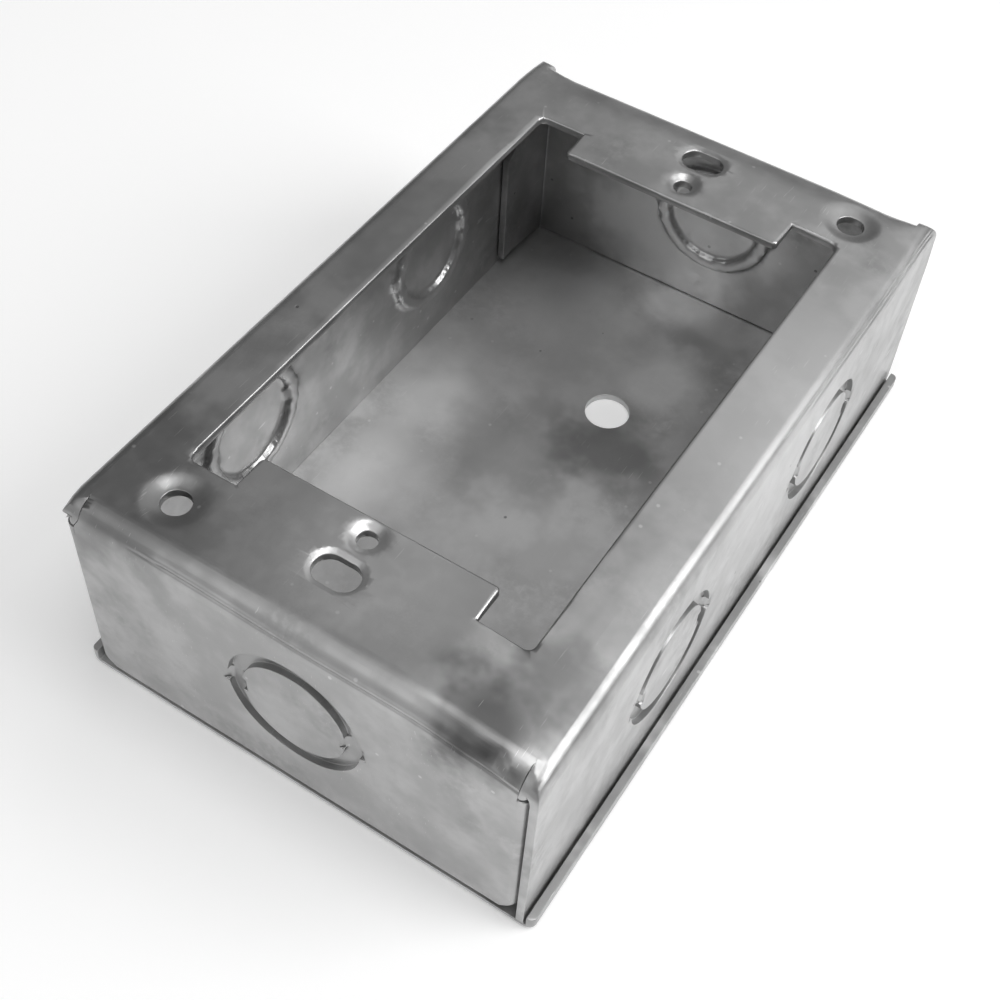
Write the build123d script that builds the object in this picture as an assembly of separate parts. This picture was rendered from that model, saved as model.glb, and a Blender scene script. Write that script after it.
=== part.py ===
from build123d import *
import math
import os

# Metal back box for one flush wiring accessory: a folded galvanised box body
# whose front face frames the window, and a separate back plate.
# Millimetres. +Z is out of the wall, through the window. +X is the width, +Y the length.
# The origin is the middle of the back plate's underside.

# Overall size
BOX_WIDTH = 72.0
BOX_LENGTH = 118.0
BOX_DEPTH = 38.0

# Sheet and folds. The front face bends down to the end walls in a wide fold, and to the
# long walls in a tight one. Its corners stand up a little beside the wide folds.
SHEET = 1.2
FOLD_INSIDE_RADIUS = 0.8
END_FOLD_INSIDE_RADIUS = 2.8
CORNER_RADIUS = 2.3
PLATE_SHEET = 1.2
PLATE_FOLD_INSIDE_RADIUS = 0.3

# Window in the front face, and the ear that stands into it from each short side
WINDOW_WIDTH = 52.3
WINDOW_LENGTH = 87.5
WINDOW_CORNER_RADIUS = 1.2
EAR_WIDTH = 36.8
EAR_LENGTH = 5.6
EAR_CORNER_RADIUS = 0.7
# The punch drew the sheet in a little round the window's upper edges, as a narrow slope
WINDOW_ROLLOVER = 0.25
# The window, with its ears, and the holes behind them were punched a little off the
# middle of the blank, each by a stroke of its own
WINDOW_SHIFT_X = -0.8
WINDOW_SHIFT_Y = -0.3
HOLE_SHIFT_X = -0.5
HOLE_SHIFT_Y = 0.4

# Oblong screw holes of the cover frame, one behind each ear
OBLONG_PITCH = 96.6
OBLONG_LENGTH = 6.8
OBLONG_WIDTH = 4.6
OBLONG_RIM = 0.9
OBLONG_RIM_DEPTH = 0.35

# Tapped holes of the accessory's screws, one in each ear, each at the foot of a dimple.
# The bore is the core of the thread, which is too fine to model.
TAPPED_PITCH = 83.5
TAPPED_BORE = 2.9
TAPPED_DIMPLE_DIAMETER = 5.0
TAPPED_DIMPLE_FOOT_DIAMETER = 3.3
TAPPED_DIMPLE_DEPTH = 0.8

# Dimpled round screw holes, near two opposite corners of the front face
ROUND_HOLE_PITCH_X = 48.7
ROUND_HOLE_PITCH_Y = 99.8
ROUND_HOLE_SHIFT_X = 0.4
ROUND_HOLE_SHIFT_Y = -0.3
ROUND_HOLE_BORE = 4.2
ROUND_DIMPLE_DIAMETER = 9.0
ROUND_DIMPLE_FOOT_DIAMETER = 4.5
ROUND_DIMPLE_DEPTH = 0.9

# Knockouts: a ring pressed inwards round a flat disc, held by two drawn ties
KNOCKOUT_DIAMETER = 21.0
KNOCKOUT_DISC_DIAMETER = 16.4
KNOCKOUT_SET = 1.0
KNOCKOUT_BELOW_FRONT = 17.9
KNOCKOUT_SIDE_PITCH = 47.0
TIE_WIDTH = 2.6
TIE_SLOPE = 0.9
TIE_MARGIN = 0.5

# Lap tabs: folded back from the end walls, inside the long walls, and spot welded
LAP_FOLD_INSIDE_RADIUS = 0.3
LAP_TAB_LENGTH = 14.0
LAP_CLEARANCE = 0.15
LAP_TAB_TOP_GAP = 3.0
LAP_TAB_CHAMFER = 9.5
LAP_TAB_FOOT_GAP = 1.4
WELD_DIAMETER = 2.6
WELD_PROUD = 0.15
WELD_EDGE_DISTANCE = 2.8
WELD_BELOW_FRONT = 24.5

# Corner reliefs under the front face, and the feet of the end walls
RELIEF_WIDTH = 1.5
RELIEF_HEIGHT = 1.7
RELIEF_BELOW_FRONT = 2.0
END_WALL_FOOT_GAP = 1.0
END_WALL_FOOT_CHAMFER = 2.4

# Back plate: a shallow channel whose low flanges stand outside the long walls
FLANGE_GAP = 0.35
FLANGE_HEIGHT = 3.2
FLANGE_END_RADIUS = 0.9
BACK_HOLE_DIAMETER = 7.5
BACK_HOLE_Y = 25.1

# Sizes that follow from the ones above
END_FOLD_OUTSIDE_RADIUS = END_FOLD_INSIDE_RADIUS + SHEET
LAP_FOLD_OUTSIDE_RADIUS = LAP_FOLD_INSIDE_RADIUS + SHEET
FRONT_Z = BOX_DEPTH
FRONT_UNDERSIDE_Z = FRONT_Z - SHEET
FOOT_Z = PLATE_SHEET
HALF_WIDTH = BOX_WIDTH / 2
HALF_LENGTH = BOX_LENGTH / 2
END_WALL_FOOT_Z = FOOT_Z + END_WALL_FOOT_GAP
LAP_FACE_X = HALF_WIDTH - SHEET - LAP_CLEARANCE
RELIEF_X = LAP_FACE_X - RELIEF_WIDTH
KNOCKOUT_Z = FRONT_Z - KNOCKOUT_BELOW_FRONT
# How far a cutting tool runs past the metal
PAST = 1.0

ENDS = (-1, 1)
SIDES = (-1, 1)


def upright_box(x_min, x_max, y_min, y_max, z_min, z_max):
    """A plain block between two corners."""
    block = Box(x_max - x_min, y_max - y_min, z_max - z_min, align=(Align.MIN,) * 3)
    return Pos(x_min, y_min, z_min) * block


def channel_profile(width, height, sheet, inside_radius):
    """The section of a channel that opens downwards, folded from one sheet."""
    outer = Pos(0, -height / 2) * Rectangle(width, height)
    outer = fillet(outer.vertices().sort_by(Axis.Y)[-2:], inside_radius + sheet)
    inner_height = height - sheet
    inner = Pos(0, -sheet - inner_height / 2) * Rectangle(width - 2 * sheet, inner_height)
    inner = fillet(inner.vertices().sort_by(Axis.Y)[-2:], inside_radius)
    return outer - inner


def front_and_long_walls():
    """The front face with the two long walls folded down from it."""
    profile = channel_profile(BOX_WIDTH, FRONT_Z - FOOT_Z, SHEET, FOLD_INSIDE_RADIUS)
    return extrude(Plane.XZ * (Pos(0, FRONT_Z) * profile), BOX_LENGTH / 2, both=True)


def end_wall_with_tabs(end):
    """One end wall and its two lap tabs: a channel in plan, drawn up to the front face."""
    plan = channel_profile(2 * LAP_FACE_X, LAP_TAB_LENGTH, SHEET, LAP_FOLD_INSIDE_RADIUS)
    height = FRONT_UNDERSIDE_Z + SHEET / 2 - END_WALL_FOOT_Z
    wall = extrude(Pos(0, HALF_LENGTH) * plan, height)
    wall = Pos(0, 0, END_WALL_FOOT_Z) * wall
    wall -= tab_trims()
    wall -= foot_chamfers()
    wall = wall if end > 0 else mirror(wall, Plane.XZ)
    return wall


def tab_trims():
    """What the blank leaves out of the lap tabs: a sloping top corner and a short foot."""
    free_edge_y = HALF_LENGTH - LAP_TAB_LENGTH
    fold_y = HALF_LENGTH - LAP_FOLD_OUTSIDE_RADIUS
    tab_top = FRONT_UNDERSIDE_Z - LAP_TAB_TOP_GAP
    slope = [
        (free_edge_y - PAST, tab_top - LAP_TAB_CHAMFER - PAST),
        (free_edge_y - PAST, FRONT_Z + PAST),
        (fold_y, FRONT_Z + PAST),
        (fold_y, tab_top),
        (free_edge_y + LAP_TAB_CHAMFER, tab_top),
        (free_edge_y, tab_top - LAP_TAB_CHAMFER),
    ]
    outline = make_face(Polyline(*slope, close=True))
    trims = extrude(Plane.YZ * outline, HALF_WIDTH, both=True)
    trims += upright_box(-HALF_WIDTH, HALF_WIDTH, free_edge_y - PAST, fold_y,
                         0, FOOT_Z + LAP_TAB_FOOT_GAP)
    return trims


def foot_chamfers():
    """The sloping lower corners of an end wall, which leave its lap tabs whole."""
    fold_y = HALF_LENGTH - LAP_FOLD_OUTSIDE_RADIUS
    triangle = make_face(Polyline(
        (LAP_FACE_X, END_WALL_FOOT_Z),
        (LAP_FACE_X, END_WALL_FOOT_Z + END_WALL_FOOT_CHAMFER),
        (LAP_FACE_X - END_WALL_FOOT_CHAMFER, END_WALL_FOOT_Z),
        close=True))
    trim = Pos(0, fold_y, 0) * extrude(Plane.XZ * triangle, -(LAP_FOLD_OUTSIDE_RADIUS + PAST))
    return trim + mirror(trim, Plane.YZ)


def edge_rounding(end, radius, x_min, x_max):
    """What a round outside leaves of the square edge between the front face and one end."""
    y_centre = end * (HALF_LENGTH - radius)
    z_centre = FRONT_Z - radius
    y_out = end * (HALF_LENGTH + PAST)
    block = upright_box(x_min, x_max, min(y_centre, y_out), max(y_centre, y_out),
                        z_centre, FRONT_Z + PAST)
    bar = Pos(0, y_centre, z_centre) * Rot(0, 90, 0) * Cylinder(radius, BOX_WIDTH + 4 * PAST)
    return block - bar


def fold_filling(end):
    """The metal inside an end fold, with its round inside face."""
    radius = END_FOLD_INSIDE_RADIUS
    y_wall = end * (HALF_LENGTH - SHEET)
    y_centre = y_wall - end * radius
    z_centre = FRONT_UNDERSIDE_Z - radius
    block = upright_box(-RELIEF_X, RELIEF_X, min(y_centre, y_wall), max(y_centre, y_wall),
                        z_centre, FRONT_UNDERSIDE_Z)
    bar = Pos(0, y_centre, z_centre) * Rot(0, 90, 0) * Cylinder(radius, BOX_WIDTH)
    return block - bar


def corner_reliefs():
    """The notches that part the end folds from the long folds."""
    z_top = FRONT_Z - RELIEF_BELOW_FRONT
    notches = Part()
    for side in SIDES:
        for end in ENDS:
            x_inner = side * RELIEF_X
            x_outer = side * (HALF_WIDTH - SHEET)
            y_outer = end * (HALF_LENGTH + PAST)
            y_inner = end * (HALF_LENGTH - END_FOLD_OUTSIDE_RADIUS)
            notches += upright_box(min(x_inner, x_outer), max(x_inner, x_outer),
                                   min(y_outer, y_inner), max(y_outer, y_inner),
                                   z_top - RELIEF_HEIGHT, z_top)
    return notches


def window():
    """The window's outline, with an ear left standing in each short side."""
    opening = RectangleRounded(WINDOW_WIDTH, WINDOW_LENGTH, WINDOW_CORNER_RADIUS)
    for end in ENDS:
        ear = Rectangle(EAR_WIDTH, 2 * EAR_LENGTH)
        tips = ear.vertices().sort_by(Axis.Y)
        tips = tips[:2] if end > 0 else tips[-2:]
        ear = fillet(tips, EAR_CORNER_RADIUS)
        opening -= Pos(0, end * WINDOW_LENGTH / 2) * ear
    tool = extrude(opening, SHEET + 2 * PAST)
    return Pos(WINDOW_SHIFT_X, WINDOW_SHIFT_Y, FRONT_UNDERSIDE_Z - PAST) * tool


def roll_over_window(body):
    """Slope the window's upper edges, and those of its ears."""
    rim = body.edges().filter_by_position(Axis.Z, FRONT_Z, FRONT_Z)
    reach_x = WINDOW_WIDTH / 2 + WINDOW_ROLLOVER
    reach_y = WINDOW_LENGTH / 2 + WINDOW_ROLLOVER
    rim = rim.filter_by_position(Axis.X, WINDOW_SHIFT_X - reach_x, WINDOW_SHIFT_X + reach_x)
    rim = rim.filter_by_position(Axis.Y, WINDOW_SHIFT_Y - reach_y, WINDOW_SHIFT_Y + reach_y)
    return chamfer(rim, WINDOW_ROLLOVER)


def dimple_hollow(top_diameter, foot_diameter, depth):
    """The tapering hollow that a dimple makes in a sheet, below z 0."""
    tool = Cone(foot_diameter / 2, top_diameter / 2, depth)
    return Pos(0, 0, -depth / 2) * tool


def dimple(body, x, y, top_diameter, foot_diameter, depth, bore):
    """Press a round dimple into the front face and pierce its foot."""
    place = Pos(x, y, FRONT_Z)
    body += place * Pos(0, 0, -SHEET) * dimple_hollow(top_diameter, foot_diameter, depth)
    body -= place * dimple_hollow(top_diameter, foot_diameter, depth)
    bore_length = SHEET + depth + 2 * PAST
    body -= place * Pos(0, 0, PAST - bore_length / 2) * Cylinder(bore / 2, bore_length)
    return body


def oblong_outline(grow):
    """The outline of an oblong hole, with its long side along the width."""
    return SlotOverall(OBLONG_LENGTH + 2 * grow, OBLONG_WIDTH + 2 * grow)


def oblong_hole(body, y):
    """An oblong hole whose rim is drawn in a little by the punch."""
    place = Pos(HOLE_SHIFT_X, y + HOLE_SHIFT_Y, FRONT_Z)
    rim = loft([oblong_outline(OBLONG_RIM), Pos(0, 0, -OBLONG_RIM_DEPTH) * oblong_outline(0)])
    body += place * Pos(0, 0, -SHEET) * rim
    body -= place * rim
    length = SHEET + 2 * PAST
    body -= place * Pos(0, 0, PAST - length - OBLONG_RIM_DEPTH) * extrude(
        oblong_outline(0), length + OBLONG_RIM_DEPTH)
    return body


def front_holes(body):
    """All the screw holes of the front face."""
    for end in ENDS:
        body = oblong_hole(body, end * OBLONG_PITCH / 2)
        body = dimple(body, HOLE_SHIFT_X, end * TAPPED_PITCH / 2 + HOLE_SHIFT_Y,
                      TAPPED_DIMPLE_DIAMETER, TAPPED_DIMPLE_FOOT_DIAMETER,
                      TAPPED_DIMPLE_DEPTH, TAPPED_BORE)
        body = dimple(body, end * ROUND_HOLE_PITCH_X / 2 + ROUND_HOLE_SHIFT_X,
                      end * ROUND_HOLE_PITCH_Y / 2 + ROUND_HOLE_SHIFT_Y,
                      ROUND_DIMPLE_DIAMETER, ROUND_DIMPLE_FOOT_DIAMETER,
                      ROUND_DIMPLE_DEPTH, ROUND_HOLE_BORE)
    return body


def knockout_ring():
    """Half of a knockout's pressed ring each side of the ties, one setting deep, below z 0."""
    ring = Circle(KNOCKOUT_DIAMETER / 2) - Circle(KNOCKOUT_DISC_DIAMETER / 2)
    ring -= Rectangle(KNOCKOUT_DIAMETER + 2 * PAST, TIE_WIDTH)
    return extrude(ring, -KNOCKOUT_SET)


def knockout_ties():
    """The two drawn ties of a knockout: short sloping troughs across the ring, below z 0."""
    inner = KNOCKOUT_DISC_DIAMETER / 2
    outer = KNOCKOUT_DIAMETER / 2
    trough = [
        (inner - TIE_SLOPE, 0),
        (inner + TIE_MARGIN, -KNOCKOUT_SET),
        (outer - TIE_MARGIN, -KNOCKOUT_SET),
        (outer + TIE_SLOPE, 0),
    ]
    tie = extrude(Plane.XZ * make_face(Polyline(*trough, close=True)), TIE_WIDTH / 2, both=True)
    return tie + mirror(tie, Plane.YZ)


def knockout(body, wall_face):
    """Press a knockout into a wall. The plane lies on the wall's outside, facing outwards."""
    pressed = knockout_ring() + knockout_ties()
    body += wall_face * Pos(0, 0, -SHEET) * pressed
    body -= wall_face * pressed
    return body


def knockout_faces():
    """Where the knockouts lie: one in each end wall, two in each long wall."""
    faces = []
    for end in ENDS:
        faces.append(Plane(origin=(0, end * HALF_LENGTH, KNOCKOUT_Z),
                           x_dir=(1, 0, 0), z_dir=(0, end, 0)))
    for side in SIDES:
        for end in ENDS:
            faces.append(Plane(origin=(side * HALF_WIDTH, end * KNOCKOUT_SIDE_PITCH / 2, KNOCKOUT_Z),
                               x_dir=(0, 1, 0), z_dir=(side, 0, 0)))
    return faces


def spot_welds():
    """The weld nuggets that hold the lap tabs to the long walls."""
    length = LAP_CLEARANCE + SHEET + WELD_PROUD + SHEET / 2
    y = HALF_LENGTH - LAP_TAB_LENGTH + WELD_EDGE_DISTANCE
    x = LAP_FACE_X - SHEET - WELD_PROUD + length / 2
    nuggets = Part()
    for side in SIDES:
        for end in ENDS:
            nugget = Rot(0, 90, 0) * Cylinder(WELD_DIAMETER / 2, length)
            nuggets += Pos(side * x, end * y, FRONT_Z - WELD_BELOW_FRONT) * nugget
    return nuggets


def make_box_body():
    """The whole folded, punched and welded box body."""
    body = roll_over_window(front_and_long_walls() - window())
    for end in ENDS:
        body += end_wall_with_tabs(end)
    for end in ENDS:
        body += fold_filling(end)
        body -= edge_rounding(end, END_FOLD_OUTSIDE_RADIUS, -RELIEF_X, RELIEF_X)
        body -= edge_rounding(end, CORNER_RADIUS, RELIEF_X, HALF_WIDTH + PAST)
        body -= edge_rounding(end, CORNER_RADIUS, -HALF_WIDTH - PAST, -RELIEF_X)
    body -= corner_reliefs()
    body = front_holes(body)
    for face in knockout_faces():
        body = knockout(body, face)
    body += spot_welds()
    return body


def make_back_plate():
    """The back plate, with a low flange folded up outside each long wall."""
    width = BOX_WIDTH + 2 * (FLANGE_GAP + PLATE_SHEET)
    profile = channel_profile(width, FLANGE_HEIGHT, PLATE_SHEET, PLATE_FOLD_INSIDE_RADIUS)
    plate = extrude(Plane.XZ * mirror(profile, Plane.XZ), BOX_LENGTH / 2, both=True)
    corners = plate.edges().filter_by(Axis.Z).filter_by(
        lambda edge: abs(edge.center().X) > width / 2 - PLATE_SHEET / 2)
    plate = fillet(corners, FLANGE_END_RADIUS)
    hole = Pos(0, BACK_HOLE_Y, PLATE_SHEET / 2) * Cylinder(BACK_HOLE_DIAMETER / 2, 2 * PLATE_SHEET)
    return plate - hole


os.makedirs("parts", exist_ok=True)
nodes = {"box_body": make_box_body(), "back_plate": make_back_plate()}
for name, shape in nodes.items():
    export_step(shape, f"parts/{name}.step")
    print(name, "volume", round(shape.volume, 1), "solids", len(shape.solids()))
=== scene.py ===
# %% [markdown]
# # A galvanised back box
# This lesson dresses a metal back box: a folded sheet box body with a window in its front, standing on a
# separate back plate. The sheets come in as finished solids at their real size. The lesson gives them the
# finish of zinc coated steel, the soft edges of punched and folded sheet, and the small dents of handling.

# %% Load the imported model
import math

import bmesh
import bpy
from mathutils import Matrix, Vector


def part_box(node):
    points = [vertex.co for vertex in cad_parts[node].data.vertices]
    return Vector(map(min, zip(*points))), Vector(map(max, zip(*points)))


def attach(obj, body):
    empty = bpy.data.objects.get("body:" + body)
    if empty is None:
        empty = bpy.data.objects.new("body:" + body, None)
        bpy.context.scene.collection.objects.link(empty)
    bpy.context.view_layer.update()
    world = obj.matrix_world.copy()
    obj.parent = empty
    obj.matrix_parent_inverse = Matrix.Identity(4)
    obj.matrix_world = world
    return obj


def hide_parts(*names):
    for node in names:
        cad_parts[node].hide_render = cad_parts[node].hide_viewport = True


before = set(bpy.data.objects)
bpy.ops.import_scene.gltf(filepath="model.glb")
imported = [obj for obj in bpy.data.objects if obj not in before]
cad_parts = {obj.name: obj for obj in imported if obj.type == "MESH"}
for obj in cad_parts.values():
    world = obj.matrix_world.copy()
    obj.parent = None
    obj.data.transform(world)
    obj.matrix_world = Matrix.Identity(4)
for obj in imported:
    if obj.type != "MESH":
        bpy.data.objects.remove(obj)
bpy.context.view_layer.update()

MM = 0.001
for name in sorted(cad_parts):
    low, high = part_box(name)
    print(name, "from", [round(v / MM, 2) for v in low], "to", [round(v / MM, 2) for v in high], "mm")

# %% [markdown]
# ## Camera
# The photograph was taken from close by, above the near right corner, so the near end looks larger than the
# far end. The camera is placed by the angles of its line of sight and by its distance from the point it
# looks at, and its lens length sets how much of the picture the box fills.

# %% The camera
SENSOR_WIDTH_MM = 36.0
LENS_MM = 55.465
VIEW_AZIMUTH = math.radians(29.36)
VIEW_ELEVATION = math.radians(51.15)
VIEW_ROLL = math.radians(-4.15)
AIM_POINT = Vector((2.51, -13.64, 19.0)) * MM
VIEW_DISTANCE = 221.7 * MM


def camera_axes(azimuth, elevation, roll):
    """The camera's right, up and back directions."""
    back = Vector((math.sin(azimuth) * math.cos(elevation),
                   -math.cos(azimuth) * math.cos(elevation),
                   math.sin(elevation)))
    level = back.cross(Vector((0, 0, 1))).normalized() * -1
    upright = back.cross(level)
    right = math.cos(roll) * level - math.sin(roll) * upright
    return right, back.cross(right), back


view_right, view_up, view_back = camera_axes(VIEW_AZIMUTH, VIEW_ELEVATION, VIEW_ROLL)
lens = bpy.data.cameras.new("portrait_lens")
lens.sensor_width = SENSOR_WIDTH_MM
lens.lens = LENS_MM
lens.clip_start = 10 * MM
camera = bpy.data.objects.new("portrait_camera", lens)
camera.matrix_world = Matrix.Translation(AIM_POINT + view_back * VIEW_DISTANCE) @ Matrix(
    (view_right, view_up, view_back)).transposed().to_4x4()
bpy.context.scene.collection.objects.link(camera)
bpy.context.scene.camera = camera
print("camera at", [round(v / MM, 1) for v in camera.location], "mm")

# %% [markdown]
# ## Helpers for materials
# A colour is written as it looks on a screen, and Blender works with the light behind it, so one function
# turns the first into the second. Another adds a node and wires it up in a single line.

# %% Colours and nodes
def linear(hex_colour):
    """An sRGB hex colour as Blender's linear red, green, blue and alpha."""
    channels = [int(hex_colour[i:i + 2], 16) / 255 for i in (1, 3, 5)]
    return [c / 12.92 if c <= 0.04045 else ((c + 0.055) / 1.055) ** 2.4 for c in channels] + [1.0]


def add_node(tree, kind, links=None, **settings):
    """Add a node. The settings are the node's own; links feed its inputs with sockets or with values."""
    node = tree.nodes.new(kind)
    for name, value in settings.items():
        setattr(node, name, value)
    for socket, value in (links or {}).items():
        if isinstance(value, bpy.types.NodeSocket):
            tree.links.new(value, node.inputs[socket])
        else:
            node.inputs[socket].default_value = value
    return node


def new_material(name):
    """An empty node material, and its output node."""
    material = bpy.data.materials.new(name)
    material.use_nodes = True
    material.node_tree.nodes.clear()
    output = material.node_tree.nodes.new("ShaderNodeOutputMaterial")
    return material, material.node_tree, output


def ramp(tree, value, low, high, to_low=0.0, to_high=1.0):
    """A smooth step of a value between two marks."""
    return add_node(tree, "ShaderNodeMapRange", {"Value": value, "From Min": low, "From Max": high,
                                                 "To Min": to_low, "To Max": to_high},
                    interpolation_type="SMOOTHSTEP").outputs[0]


def calc(tree, operation, first, second, clamp=False):
    """One sum on two sockets or values."""
    return add_node(tree, "ShaderNodeMath", {0: first, 1: second}, operation=operation,
                    use_clamp=clamp).outputs[0]


# %% [markdown]
# ## Floor
# The box stands on matt white paper. The paper adds a little light of its own where the camera or the metal
# looks at it, so it comes out white without more light on the box, and it keeps the box's shadow.

# %% The floor
FLOOR_HALF_WIDTH = 1.5
FLOOR_COLOUR = "#E8E8E8"
FLOOR_GLOW = 0.26

paper, tree, output = new_material("matt_white_paper")
diffuse = add_node(tree, "ShaderNodeBsdfDiffuse", {"Color": linear(FLOOR_COLOUR)})
path = add_node(tree, "ShaderNodeLightPath")
seen = calc(tree, "ADD", path.outputs["Is Camera Ray"], path.outputs["Is Glossy Ray"])
seen = calc(tree, "ADD", seen, path.outputs["Is Transmission Ray"], clamp=True)
glow = add_node(tree, "ShaderNodeEmission", {"Color": linear("#FFFFFF"),
                                             "Strength": calc(tree, "MULTIPLY", seen, FLOOR_GLOW)})
both = add_node(tree, "ShaderNodeAddShader", {0: diffuse.outputs[0], 1: glow.outputs[0]})
tree.links.new(both.outputs[0], output.inputs["Surface"])

shape = bmesh.new()
bmesh.ops.create_grid(shape, x_segments=1, y_segments=1, size=FLOOR_HALF_WIDTH)
floor_mesh = bpy.data.meshes.new("paper_floor")
shape.to_mesh(floor_mesh)
shape.free()
floor = bpy.data.objects.new("paper_floor", floor_mesh)
floor.data.materials.append(paper)
bpy.context.scene.collection.objects.link(floor)

# %% [markdown]
# ## Light
# Sheet metal shows what stands round it, so the light is planned as what each face will mirror. A large soft
# lamp at the right draws the white line along the right fold. The face on top mirrors the sky behind the
# box, which is brighter towards the right, and the near fold and the inside mirror the sky in front.

# %% The lamps
def add_lamp(name, place, size, power, aim=(0, 0, 0.02)):
    """A square soft lamp that faces a point."""
    light = bpy.data.lights.new(name, "AREA")
    light.shape = "RECTANGLE"
    light.size, light.size_y = size
    light.energy = power
    lamp = bpy.data.objects.new(name, light)
    lamp.location = place
    lamp.rotation_euler = (Vector(aim) - Vector(place)).to_track_quat("-Z", "Y").to_euler()
    bpy.context.scene.collection.objects.link(lamp)
    print(name, "of", power, "W")


add_lamp("right_softbox", (0.66, 0.23, 0.54), (0.6, 0.55), 4.9)
add_lamp("front_softbox", (-0.25, -0.55, 0.85), (0.9, 0.8), 1.25)
add_lamp("top_softbox", (0.22, -0.05, 0.95), (0.5, 0.5), 3.2)

# %% [markdown]
# The room itself is dim and even, with two large soft glows: one behind the box, high up, and one low in
# front. Each glow is the angle between a direction and its middle, turned into light by a smooth step.

# %% The room
SKY_LEVEL = 0.12
# The middle of each glow, the cosines of the angles where it starts and where it is full, and its strength.
SKY_GLOWS = [((0.10, 0.72, 0.69), 0.82, 0.98, 0.60), ((-0.30, -0.85, 0.43), 0.78, 0.97, 0.42)]

world = bpy.data.worlds.new("studio")
world.use_nodes = True
tree = world.node_tree
tree.nodes.clear()
way = add_node(tree, "ShaderNodeTexCoord").outputs["Generated"]
level = SKY_LEVEL
for direction, edge, core, strength in SKY_GLOWS:
    near = add_node(tree, "ShaderNodeVectorMath", {0: way, 1: direction}, operation="DOT_PRODUCT")
    level = calc(tree, "ADD", level, ramp(tree, near.outputs["Value"], edge, core, 0.0, strength))
background = add_node(tree, "ShaderNodeBackground", {"Color": linear("#FFFFFF"), "Strength": level})
add_node(tree, "ShaderNodeOutputWorld", {"Surface": background.outputs[0]})
bpy.context.scene.world = world
bpy.context.scene.view_settings.view_transform = "Standard"
print("world", len(tree.nodes), "nodes")

# %% [markdown]
# ## Hot-dip zinc
# The sheet is steel drawn through molten zinc and rolled smooth. The coat is a satin metal: clouds a few
# millimetres wide where the zinc froze at a different pace, a fine grain from the rolls, and a dull bloom
# of oxide. Handling adds dark smudges, fine bright scratches and specks where the bloom is rubbed away. Each
# of them is one layer of noise at its own real size, mixed into colour, roughness or height.

# %% Layers of noise
def noise_layer(tree, coords, size_mm, detail=2.0, roughness=0.5, stretch=(1, 1, 1), turn=0.0, seed=0.0):
    """Noise whose patches are about size_mm wide, stretched and turned."""
    place = add_node(tree, "ShaderNodeMapping", {"Vector": coords, "Location": (seed, seed * 0.7, seed * 0.3),
                                                 "Rotation": (0, 0, turn), "Scale": stretch})
    return add_node(tree, "ShaderNodeTexNoise", {"Vector": place.outputs[0], "Scale": 1 / (size_mm * MM),
                                                 "Detail": detail, "Roughness": roughness}).outputs[0]


def scratch_layer(tree, coords, turn, seed, spread_mm=14.0):
    """Fine scratches that run one way, in patches."""
    lines = noise_layer(tree, coords, 0.5, 1.0, 0.4, (3.0, 0.12, 0.6), turn, seed)
    patch = noise_layer(tree, coords, spread_mm, 1.0, seed=seed + 3.1)
    return calc(tree, "MULTIPLY", ramp(tree, lines, 0.72, 0.78), ramp(tree, patch, 0.52, 0.66))


def zinc_layers(tree, coords, seed):
    """The patterns of the coat and of its wear, each from none to full."""
    cells = add_node(tree, "ShaderNodeTexVoronoi", {"Vector": coords, "Scale": 1 / (3.4 * MM)})
    chance = add_node(tree, "ShaderNodeSeparateColor", {0: cells.outputs["Color"]})
    wide_smudges = ramp(tree, noise_layer(tree, coords, 16.0, 3.0, 0.6, seed=seed + 2.3), 0.48, 0.66)
    fine_smudges = ramp(tree, noise_layer(tree, coords, 1.6, 3.0, 0.65, seed=seed + 5.1), 0.30, 0.62)
    return {
        "clouds": ramp(tree, noise_layer(tree, coords, 9.0, 3.0, 0.55, seed=seed), 0.35, 0.65),
        "blotches": ramp(tree, noise_layer(tree, coords, 3.2, 4.0, 0.6, seed=seed + 1.7), 0.42, 0.70),
        "smudges": calc(tree, "MULTIPLY", wide_smudges, fine_smudges),
        "grain": noise_layer(tree, coords, 0.25, 2.0, 0.6, (1.0, 0.10, 1.0), seed=seed),
        "specks": calc(tree, "MULTIPLY", ramp(tree, cells.outputs["Distance"], 0.11, 0.05),
                       ramp(tree, chance.outputs[0], 0.66, 0.70)),
        "pits": calc(tree, "MULTIPLY", ramp(tree, cells.outputs["Distance"], 0.10, 0.06),
                     ramp(tree, chance.outputs[1], 0.90, 0.93)),
        "scratches": calc(tree, "MAXIMUM", scratch_layer(tree, coords, 0.5, seed),
                          scratch_layer(tree, coords, -0.9, seed - 0.9)),
    }


# %% [markdown]
# Large soft patches of painted shade and painted sheen lie over the fine patterns: darker where the sheet would
# mirror a dim part of the room, paler where it would mirror a bright part. A patch is the distance from its
# middle, and the clouds fray its rim so that it doesn't read as a drawn circle.

# %% Colour
def blend(tree, amount, first, second):
    """Mix two colours."""
    mix = add_node(tree, "ShaderNodeMix", {0: amount}, data_type="RGBA")
    for socket, value in ((6, first), (7, second)):
        if isinstance(value, bpy.types.NodeSocket):
            tree.links.new(value, mix.inputs[socket])
        else:
            mix.inputs[socket].default_value = linear(value)
    return mix.outputs[2]


def lay_painted_light_patch(tree, coords, clouds, colour, centre, reach, shade, amount):
    """Lay one large soft patch of painted light or shade over a colour. Its centre and reach are in mm."""
    away = add_node(tree, "ShaderNodeVectorMath", {0: coords, 1: Vector(centre) * MM}, operation="DISTANCE")
    frayed = calc(tree, "MULTIPLY", calc(tree, "SUBTRACT", clouds, 0.5), reach * 0.3 * MM)
    distance = calc(tree, "ADD", away.outputs["Value"], frayed)
    return blend(tree, ramp(tree, distance, reach * MM, reach * 0.3 * MM, 0.0, amount), colour, shade)


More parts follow.
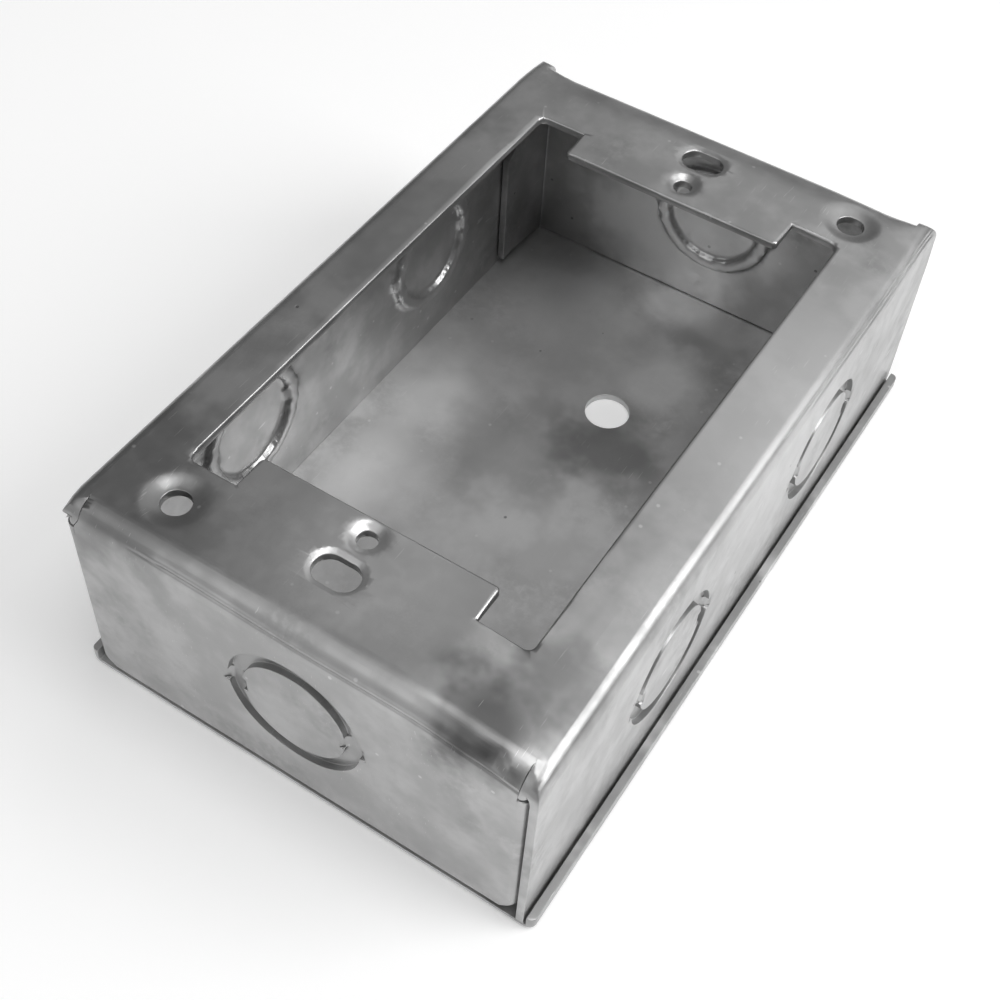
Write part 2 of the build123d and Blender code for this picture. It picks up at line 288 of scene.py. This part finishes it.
def zinc_colour(tree, coords, layers, pale, dull, smudge, marks):
    """The colour of the coat: clouds, blotches and smudges, the soft patches of painted light and shade, then pits
    and bright wear.
    """
    colour = blend(tree, layers["clouds"], dull, pale)
    colour = blend(tree, calc(tree, "MULTIPLY", layers["blotches"], 0.35), colour, dull)
    colour = blend(tree, calc(tree, "MULTIPLY", layers["smudges"], 0.35), colour, smudge)
    for mark in marks:
        colour = lay_painted_light_patch(tree, coords, layers["clouds"], colour, *mark)
    colour = blend(tree, calc(tree, "MULTIPLY", layers["pits"], 0.6), colour, "#4A4A4A")
    wear = calc(tree, "MAXIMUM", layers["scratches"], layers["specks"])
    return blend(tree, calc(tree, "MULTIPLY", wear, 0.38), colour, "#F0F0F0")


# %% [markdown]
# The bloom is duller than the metal beside it, so blotches and smudges are also rougher. The sheet isn't
# quite flat: waves a few centimetres long and ripples of a few millimetres bend what it mirrors. These are
# too shallow for the mesh, so they are a bump, with their heights in real millimetres.

# %% Roughness, height and the whole coat
def zinc_roughness(tree, layers, base):
    """How dull the coat is, with the grain of the rolls in it."""
    rough = calc(tree, "ADD", base, calc(tree, "MULTIPLY", layers["blotches"], 0.06))
    rough = calc(tree, "ADD", rough, calc(tree, "MULTIPLY", layers["smudges"], 0.08))
    return calc(tree, "ADD", rough, calc(tree, "MULTIPLY", calc(tree, "SUBTRACT", layers["grain"], 0.5), 0.08))


def zinc_bump(tree, coords, layers, seed):
    """The waves, ripples, grain and pits of the sheet as a bump."""
    waves = calc(tree, "MULTIPLY", noise_layer(tree, coords, 22.0, 1.0, seed=seed + 4.0), 0.14 * MM)
    ripples = calc(tree, "MULTIPLY", noise_layer(tree, coords, 5.0, 2.0, seed=seed + 6.0), 0.012 * MM)
    heights = calc(tree, "ADD", waves, ripples)
    heights = calc(tree, "ADD", heights, calc(tree, "MULTIPLY", layers["grain"], 0.0008 * MM))
    heights = calc(tree, "SUBTRACT", heights, calc(tree, "MULTIPLY", layers["pits"], 0.03 * MM))
    return add_node(tree, "ShaderNodeBump", {"Strength": 1.0, "Distance": 1.0, "Height": heights}).outputs[0]


def zinc_sheet(name, shades, roughness, bloom, seed, marks):
    """The satin zinc coat of one sheet. Shades are pale, dull and smudged; bloom is the share of oxide; marks are
    soft patches of painted light and shade.
    """
    material, tree, output = new_material(name)
    coords = add_node(tree, "ShaderNodeTexCoord").outputs["Object"]
    layers = zinc_layers(tree, coords, seed)
    shader = add_node(tree, "ShaderNodeBsdfPrincipled", {
        "Base Color": zinc_colour(tree, coords, layers, *shades, marks), "Metallic": 1.0 - bloom,
        "Roughness": zinc_roughness(tree, layers, roughness), "Normal": zinc_bump(tree, coords, layers, seed)})
    tree.links.new(shader.outputs[0], output.inputs["Surface"])
    print(name, len(tree.nodes), "nodes")
    return material


# %% [markdown]
# The body is the duller sheet, with painted shade along its left strip, where real smudges lie at the near
# left end, painted shade at its near right corner, and painted sheen on the top and on the far inner wall. The
# back plate is the brighter one, with painted reflections and painted shade on the floor of the box and
# painted shade along its flange.

# %% The two sheets' coats
# Each patch of painted light or shade is its centre and reach in mm, its shade, and how much of it shows.
# Body: painted shade on the left strip, with real smudges at its near end; painted sheen in the middle and on the
# right of the top; painted shade at the near right corner, where it dims the highlight of the fold; painted light on
# the inside of the far wall.
BODY_PAINTED_SHADE_AND_SHEEN = [((-34, -50, 38), 20, "#7C7C7C", 0.7), ((-34, 10, 38), 34, "#8C8C8C", 0.5),
              ((2, -44, 38), 17, "#D6D6D6", 0.6), ((31, 10, 38), 26, "#D2D2D2", 0.5),
              ((26.5, -55, 38), 12, "#606060", 0.95), ((30, -45, 38), 8, "#7C7C7C", 0.8),
              ((-8, 58, 13), 25, "#F0F0F0", 0.9)]
# Painted shade along the flange of the back plate, where it stands in the dark gap under the long walls.
FLANGE_PAINTED_SHADE = [((38.5, y, 3), 14, "#8A8A8A", 0.8) for y in range(-54, 55, 18)]
# Painted reflections of the bright walls and ridges on the floor of the box, as paler fields, and painted shade
# between them, as darker fields.
FLOOR_PAINTED_REFLECTIONS = [((-23, 10, 1), 11, "#F2F2F2", 0.6), ((-22, -8, 1), 12, "#F0F0F0", 0.5),
               ((4, 36, 1), 9, "#F4F4F4", 0.6), ((-20, 43, 1), 13, "#F4F4F4", 0.7),
               ((-2, 55, 1), 9, "#F6F6F6", 0.8), ((-9, 8, 1), 15, "#909090", 0.5),
               ((4, 18, 1), 12, "#808080", 0.75), ((9, 50, 1), 12, "#969696", 0.5)]
body_zinc = zinc_sheet("galvanised_sheet_dull", ("#BCBCBC", "#A8A8A8", "#848484"), 0.32, 0.15, 1.0, BODY_PAINTED_SHADE_AND_SHEEN)
plate_zinc = zinc_sheet("galvanised_sheet_bright", ("#D6D6D6", "#C6C6C6", "#A2A2A2"), 0.30, 0.42, 8.0,
                        FLANGE_PAINTED_SHADE + FLOOR_PAINTED_REFLECTIONS)

# %% [markdown]
# ## The sheets as working meshes
# The two solids stay as they are, and a merged copy of each is worked on. Flat faces are joined, then every
# sharp edge gets a narrow round, because sheared and punched sheet has no razor edges and the round is what
# catches the light. The drawn ridges behind the knockouts get none, because they are smoothed later.

# %% Copies with rounded edges
EDGE_ROUND = 0.09 * MM
SHARP_ANGLE = math.radians(50)
FLAT_ANGLE = math.radians(0.4)
SAME_PLACE, SHORT_EDGE = 0.001 * MM, 0.04 * MM

# Each knockout: the axis its wall faces, the side it is on, and its place along the wall in mm.
KNOCKOUT_SPACING = 23.5
KNOCKOUTS = [(1, -1, 0.0), (1, 1, 0.0), (0, 1, -KNOCKOUT_SPACING), (0, 1, KNOCKOUT_SPACING),
             (0, -1, -KNOCKOUT_SPACING), (0, -1, KNOCKOUT_SPACING)]
KNOCKOUT_Z, KNOCKOUT_REACH = 20.1, 12.4
WALL_OUTSIDE = (36.0, 59.0)
WALL_BACK = (1.1, 3.0)


def behind_knockout(middle, across=None):
    """Whether a point lies on the inside of a wall, in the square round a knockout."""
    return any(WALL_BACK[0] < WALL_OUTSIDE[axis] - side * middle[axis] < WALL_BACK[1]
               and abs(middle[1 - axis] - along) < KNOCKOUT_REACH
               and abs(middle[2] - KNOCKOUT_Z) < KNOCKOUT_REACH and across in (None, 1 - axis)
               for axis, side, along in KNOCKOUTS)


def working_copy(node_name):
    """A merged copy of a solid's mesh, with rounded sharp edges."""
    shape = bmesh.new()
    shape.from_mesh(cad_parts[node_name].data)
    bmesh.ops.remove_doubles(shape, verts=shape.verts, dist=SAME_PLACE)
    bmesh.ops.dissolve_limit(shape, angle_limit=FLAT_ANGLE, verts=shape.verts, edges=shape.edges)
    bmesh.ops.remove_doubles(shape, verts=shape.verts, dist=SHORT_EDGE)
    sharp = [edge for edge in shape.edges if edge.is_manifold and edge.calc_face_angle(0) > SHARP_ANGLE
             and not (node_name == "box_body" and behind_knockout((edge.verts[0].co + edge.verts[1].co) / 2 / MM))]
    bmesh.ops.bevel(shape, geom=sharp, offset=EDGE_ROUND, offset_type="OFFSET", segments=2, profile=0.5,
                    affect="EDGES", clamp_overlap=False, material=-1)
    bmesh.ops.triangulate(shape, faces=shape.faces)
    print(node_name, len(shape.verts), "vertices,", len(sharp), "edges rounded")
    return shape


body = working_copy("box_body")
plate = working_copy("back_plate")

# %% [markdown]
# ## Small faces
# A flat face of a solid has corners only at its outline, so it can't bend. Rows of parallel cuts give the
# folds, the dimples and the ridges behind the knockouts the small faces they need, and leave the rest whole.

# %% Cuts
ALONG_X, ALONG_Y, ALONG_Z = Vector((1, 0, 0)), Vector((0, 1, 0)), Vector((0, 0, 1))


def marks(start, stop, count):
    """Evenly spaced marks."""
    return [start + (stop - start) * i / count for i in range(count + 1)]


def inside(point, low, high):
    """Whether a point in mm lies in a box in mm."""
    return all(l <= v <= h for v, l, h in zip(point, low, high))


def cut_where(shape, chosen, normal, places):
    """Cut the faces whose middle is chosen, at one plane through each place: a point, or a distance in mm."""
    faces = [face for face in shape.faces if chosen(face.calc_center_median() / MM)]
    geometry = list(dict.fromkeys(faces + [e for f in faces for e in f.edges] + [v for f in faces for v in f.verts]))
    for place in places:
        point = place if isinstance(place, Vector) else normal * place
        geometry = bmesh.ops.bisect_plane(shape, geom=geometry, dist=1e-7, plane_co=point * MM,
                                          plane_no=normal)["geom"]


def cut(shape, low, high, normal, places):
    """Cut the faces in a box."""
    cut_where(shape, lambda middle: inside(middle, low, high), normal, places)


# %% [markdown]
# The near fold is cut into narrow strips round its axis as well as across, and closest where its crease
# runs. The first cuts, through everything, part the ends from the middle, so that the later ones stay local.

# %% Small faces at the ends and the folds
EVERYWHERE = (-40, -60, -1), (40, 60, 40)
FRONT_SHEET = (-37, -60, 35.5), (37, 60, 38.1)
NEAR_FOLD = (-33.2, -59.5, 33.9), (33.2, -54.9, 38.2)
NEAR_LEFT_CORNER = (-36.5, -60, 0), (-28, -57.6, 38)
FAR_FOLD = (-37, 49, 26), (37, 60, 39)
RIGHT_FOLD = (33.9, 4, 35.9), (36.1, 57, 38.1)
FOLD_AXIS_Y, FOLD_AXIS_Z, FOLD_RADIUS, FOLD_INSIDE = 55.0, 34.0, 4.0, 2.8
SIDE_AXIS_X, SIDE_AXIS_Z, SIDE_RADIUS = 34.0, 36.0, 2.0
NEAR_ANGLES = [4, 8, 12] + marks(14, 40, 26) + [44, 50, 56, 62, 68, 74, 80, 86]
SIDE_ANGLES = marks(8, 48, 20)

cut(body, *EVERYWHERE, ALONG_Y, [-57.6, -54.9, 49.0])
cut(body, *EVERYWHERE, ALONG_X, [-33.2, -28.0, 33.2])
cut(body, *EVERYWHERE, ALONG_Z, [26.0, 33.9])
cut(body, *NEAR_FOLD, ALONG_X, marks(-32, 33, 52))
for turn in [math.radians(degrees) for degrees in NEAR_ANGLES]:
    cut(body, *NEAR_FOLD, Vector((0, math.sin(turn), math.cos(turn))), [Vector((0, -FOLD_AXIS_Y, FOLD_AXIS_Z))])
cut(body, *FAR_FOLD, ALONG_Y, marks(50, 58, 8))
cut(body, *FAR_FOLD, ALONG_X, marks(-32, 32, 16))
cut(body, *FAR_FOLD, ALONG_Z, [28, 30, 32])
for turn in [math.radians(degrees) for degrees in SIDE_ANGLES]:
    cut(body, *RIGHT_FOLD, Vector((-math.sin(turn), 0, math.cos(turn))), [Vector((SIDE_AXIS_X, 0, SIDE_AXIS_Z))])
cut(body, *RIGHT_FOLD, ALONG_Y, marks(5, 56, 34))
cut(body, *NEAR_LEFT_CORNER, ALONG_X, marks(-35, -28, 7))
cut(body, *FRONT_SHEET, ALONG_X, [17, 20, 23, 26, 28, 29, 30, 31, 32, 32.7, 34])
cut(body, *FRONT_SHEET, ALONG_Y, marks(-54, -24, 10))
print("body", len(body.faces), "faces")

# %% [markdown]
# The dimples and the backs of the knockouts are small and strongly curved, so each gets a square of fine
# cells. The cells lie only behind the knockouts, because their outside is already right in the solid.

# %% Small faces at the dimples and knockouts
# Each dimple: its middle in x and y, the radius of its foot, that of its rim, and its depth, in mm.
DIMPLES = [(-23.95, -50.2, 2.25, 4.5, 0.9), (24.75, 49.6, 2.25, 4.5, 0.9), (-0.5, -41.35, 1.65, 2.5, 0.8),
           (-0.5, 42.15, 1.65, 2.5, 0.8)]
DIMPLE_REACH, DIMPLE_CELLS = 6.3, 16
WALLS = (-37, -60, 1), (37, 60, 33.9)
EDGE_MARKS = [-KNOCKOUT_REACH, KNOCKOUT_REACH]
CELL_MARKS = marks(-KNOCKOUT_REACH, KNOCKOUT_REACH, 34)[1:-1]
WALL_MIDDLES = (-KNOCKOUT_SPACING, KNOCKOUT_SPACING)

for x, y, _, _, _ in DIMPLES:
    low, high = (x - DIMPLE_REACH, y - DIMPLE_REACH, 35.5), (x + DIMPLE_REACH, y + DIMPLE_REACH, 38.1)
    cut(body, *FRONT_SHEET, ALONG_X, [low[0], high[0]])
    cut(body, *FRONT_SHEET, ALONG_Y, [low[1], high[1]])
    cut(body, low, high, ALONG_X, marks(low[0], high[0], DIMPLE_CELLS)[1:-1])
    cut(body, low, high, ALONG_Y, marks(low[1], high[1], DIMPLE_CELLS)[1:-1])
cut(body, *WALLS, ALONG_Z, [KNOCKOUT_Z + mark for mark in EDGE_MARKS])
cut(body, *WALLS, ALONG_X, EDGE_MARKS)
cut(body, *WALLS, ALONG_Y, [middle + mark for middle in WALL_MIDDLES for mark in EDGE_MARKS])
cut_where(body, behind_knockout, ALONG_Z, [KNOCKOUT_Z + mark for mark in CELL_MARKS])
cut_where(body, lambda middle: behind_knockout(middle, 0), ALONG_X, CELL_MARKS)
cut_where(body, lambda middle: behind_knockout(middle, 1), ALONG_Y,
          [middle + mark for middle in WALL_MIDDLES for mark in CELL_MARKS])
print("body", len(body.faces), "faces, open edges", sum(not edge.is_manifold for edge in body.edges))

# %% [markdown]
# ## Bends and dents
# A real box is a little bent and knocked, and its sheet shows it in every reflection. Each of these moves
# the vertices by a smooth bump or a smooth step of their place, so that no new edge appears. Every function
# here takes a place in mm and gives the moved one.

# %% Bumps and steps
def hump(value, centre, width):
    """A smooth bump of height one."""
    return math.exp(-((value - centre) / width) ** 2)


def step(value, start, stop):
    """A smooth step from zero to one."""
    part = min(1.0, max(0.0, (value - start) / (stop - start)))
    return part * part * (3 - 2 * part)


# %% [markdown]
# A press brake folds the near end softly over the last few millimetres and leaves a tight crease at the
# foot of the bend. Where the ears stand beside it they are brought down to the same round. A few knocks
# along the fold and one at its right end come from handling.

# %% The near end
# Each knock: its place along the fold, its height and its width in mm, and its angle round the fold.
NEAR_KNOCKS = [(29.1, -0.34, 0.9, 46), (26.0, 0.16, 1.4, 44), (31.3, 0.20, 1.1, 44), (-20.9, 0.14, 0.9, 34),
               (27.3, -0.08, 0.7, 30)]
KNOCK_ANGLE = 17.0
EAR_SHARE = 0.9
EAR_ROUND_START, EAR_ROUND_RADIUS = 56.7, 2.3


def bend_near_end(x, y, z):
    """Shape the near fold: a true round, the crease at its foot, and the knocks near the corner."""
    across, up = -(y + FOLD_AXIS_Y), z - FOLD_AXIS_Z
    reach, angle = math.hypot(across, up), math.degrees(math.atan2(up, across))
    if not (abs(x) < 33.1 and across > -0.1 and up > -0.1 and 2.6 < reach < 4.2):
        return x, y, z
    if reach < (FOLD_RADIUS + FOLD_INSIDE) / 2:
        reach = FOLD_INSIDE
    else:
        reach = FOLD_RADIUS
        foot = 21.0 + 7.0 * step(-x, -5.0, 19.5)
        off = math.radians(angle - foot) * FOLD_RADIUS
        strength = step(x, -26.0, -19.0)
        reach += strength * (0.11 * hump(off, 0.55, 0.30) - 0.16 * hump(off, 0.0, 0.20))
        for place, height, width, middle in NEAR_KNOCKS:
            reach += height * hump(x, place, width) * hump(angle, middle, KNOCK_ANGLE)
    turn = math.radians(angle)
    return x, -FOLD_AXIS_Y - math.cos(turn) * reach, FOLD_AXIS_Z + math.sin(turn) * reach


def round_near_ears(x, y, z):
    """Bring the corner ears down to the round of the near fold."""
    if abs(x) < 33.12 or y > -FOLD_AXIS_Y:
        return x, y, z
    past = max(0.0, -y - EAR_ROUND_START)
    tight = 38.0 - EAR_ROUND_RADIUS + math.sqrt(max(0.0, EAR_ROUND_RADIUS ** 2 - past ** 2))
    wide = FOLD_AXIS_Z + math.sqrt(max(0.0, FOLD_RADIUS ** 2 - (y + FOLD_AXIS_Y) ** 2))
    return x, y, z - EAR_SHARE * (tight - wide) * step(z, 33.9, 35.6)


def open_corner(x, y, z):
    """Spread the left edge of the near end wall over the cut edge of the long wall behind it."""
    low = 1 - step(z, 34.0, 36.0)
    if x < -34.72 and y < -55.0:
        return x, y + 1.35 * low * step(-y, 55.0, 58.0), z
    if x < -28.0 and y < -57.4:
        return x - 1.0 * low * step(-x, 30.0, 34.4), y, z
    return x, y, z


def knock_corner(x, y, z):
    """The dip in the front sheet at the near right corner."""
    return x, y, z - 0.22 * hump(x, 32.6, 1.6) * hump(y, -57.0, 2.2) * step(z, 35.0, 37.0)


# %% [markdown]
# The far end droops in a wider bend that was pulled down with its ear, and its corners are held up by the
# long walls. The foot of the far end wall stands on the back plate without a gap.

# %% The far end
def bend_far_end(x, y, z):
    """Let the far end of the front sheet droop, and least at its corners."""
    droop = 2.1 * step(y, 49.5, 61.0) ** 1.2 * (1 - 0.6 * step(abs(x), 28.0, 35.0))
    high = step(z, 26.0, 35.0)
    return x, y - 0.6 * step(y, 55.0, 58.0) * step(z, 29.0, 35.5), z - droop * high


def close_far_foot(x, y, z):
    """Bring the foot of the far end wall down on the back plate."""
    if y < 56.5 or abs(x) > 34.7 or z > 8.0:
        return x, y, z
    lowered = z - 0.85 * (8.0 - z) / 6.0 - 2.4 * step(abs(x), 30.8, 32.8) * (1 - step(z, 3.0, 7.0))
    return x, y, max(1.28, lowered)


# %% [markdown]
# The right fold is tight, and its press left a thin groove along the far half. The front sheet rolls off
# towards it, which is why this fold catches the light as one long line.

# %% The right fold
SIDE_PITS = (42.6, 44.4)


def crease_side(x, y, z):
    """Press the thin groove that runs along the far half of the right fold, with two pits in it."""
    across, up = x - SIDE_AXIS_X, z - SIDE_AXIS_Z
    reach, angle = math.hypot(across, up), math.degrees(math.atan2(up, across))
    if not (across > 0 and up > -0.1 and 1.9 < reach < 2.1 and 4 < y < 57.5):
        return x, y, z
    strength = step(y, 6.0, 22.0)
    off = math.radians(angle - 32.0) * SIDE_RADIUS
    reach -= strength * (0.15 * hump(off, 0.0, 0.20) + 0.08 * hump(off, 0.55, 0.16))
    for place in SIDE_PITS:
        reach -= 0.22 * hump(y, place, 0.7) * hump(angle, 40.0, 9.0)
    turn = math.radians(angle)
    return SIDE_AXIS_X + math.cos(turn) * reach, y, SIDE_AXIS_Z + math.sin(turn) * reach


def roll_right_edge(x, y, z):
    """Let the front sheet roll off towards the right fold, which is soft and a little lower than the middle."""
    low = 0.9 * step(x, 17.0, 36.0) + 0.9 * (max(0.0, x - 29.0) / 7.0) ** 2
    low = low * (1 - 0.5 * step(y, 35.0, 58.0)) + 1.2 * step(x, 14.0, 36.0) * step(-y, 24.0, 62.0)
    return x, y, z - low * step(z, 8.0, 34.0)


# %% [markdown]
# The dimples are punched, so the sheet is drawn in a soft curve from the flat into the hole. The press that
# cuts a knockout draws a round ridge on the inside of the wall, and a few rounds of smoothing give it.

# %% The dimples and knockouts
RING_FROM, RING_TO = 6.6, KNOCKOUT_REACH - 0.3


def draw_dimples(x, y, z):
    """Draw the straight cones of the punched dimples into soft hollows."""
    for centre_x, centre_y, foot, rim, depth in DIMPLES:
        away = math.hypot(x - centre_x, y - centre_y)
        cone = 38.0 - depth * min(1.0, max(0.0, (rim - away) / (rim - foot)))
        if away < DIMPLE_REACH and abs(z - cone) < 0.13:
            hollow = depth * (1 - step(away, foot - 0.5, rim + 0.55))
            return x, y, 38.0 - hollow + min(0.0, z - cone)
    return x, y, z


def draw_knockouts(shape, rounds):
    """Round the ridge that each knockout's pressed ring makes on the inside."""
    for axis, side, along in KNOCKOUTS:
        ring = [v for v in shape.verts if WALL_BACK[0] < WALL_OUTSIDE[axis] - side * v.co[axis] / MM < 2.6
                and RING_FROM < math.hypot(v.co[1 - axis] / MM - along, v.co.z / MM - KNOCKOUT_Z) < RING_TO]
        for _ in range(rounds):
            bmesh.ops.smooth_vert(shape, verts=ring, factor=0.5, use_axis_x=True, use_axis_y=True, use_axis_z=True)


# %% [markdown]
# The order matters: the ridges are smoothed while the walls are still flat, the folds are shaped before the
# whole sheet droops and rolls off, and the foot is closed last.

# %% Shape the sheet
def shape_vertices(shape, *moves):
    """Move every vertex by each of some functions of its place in mm."""
    for vertex in shape.verts:
        place = tuple(vertex.co / MM)
        for move in moves:
            place = move(*place)
        vertex.co = Vector(place) * MM


draw_knockouts(body, rounds=5)
shape_vertices(body, draw_dimples, bend_near_end, round_near_ears, crease_side, bend_far_end, open_corner,
               knock_corner, roll_right_edge, close_far_foot)
print("volume in mm3", round(body.calc_volume() / MM ** 3))

# %% [markdown]
# ## The dressed sheets
# Each working mesh becomes an object that stands in for its solid. Faces that meet gently are shaded as one
# smooth surface, and weighted normals keep the large flat faces flat up to their rounded edges.

# %% The dressed sheets
SMOOTH_BELOW = math.radians(36)


def dressed(shape, node_name, material):
    """A finished object that takes the place of a solid."""
    bmesh.ops.triangulate(shape, faces=[face for face in shape.faces if len(face.verts) > 4])
    mesh = bpy.data.meshes.new(node_name + "_sheet")
    shape.to_mesh(mesh)
    shape.free()
    mesh.polygons.foreach_set("use_smooth", [True] * len(mesh.polygons))
    mesh.set_sharp_from_angle(angle=SMOOTH_BELOW)
    piece = bpy.data.objects.new(node_name + "_sheet", mesh)
    mesh.materials.append(material)
    bpy.context.scene.collection.objects.link(piece)
    weighted = piece.modifiers.new("flat_faces", "WEIGHTED_NORMAL")
    weighted.keep_sharp = True
    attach(piece, "root")
    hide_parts(node_name)
    print(piece.name, sum(len(polygon.vertices) - 2 for polygon in mesh.polygons), "triangles")


dressed(body, "box_body", body_zinc)
dressed(plate, "back_plate", plate_zinc)

# %% [markdown]
# ## Finish of the solids
# The solids get the same coats as their dressed sheets, so that they look right wherever they are shown by
# themselves.

# %% Finish of the solids
for node_name, material in (("box_body", body_zinc), ("back_plate", plate_zinc)):
    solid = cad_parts[node_name]
    solid.data.materials.clear()
    solid.data.materials.append(material)
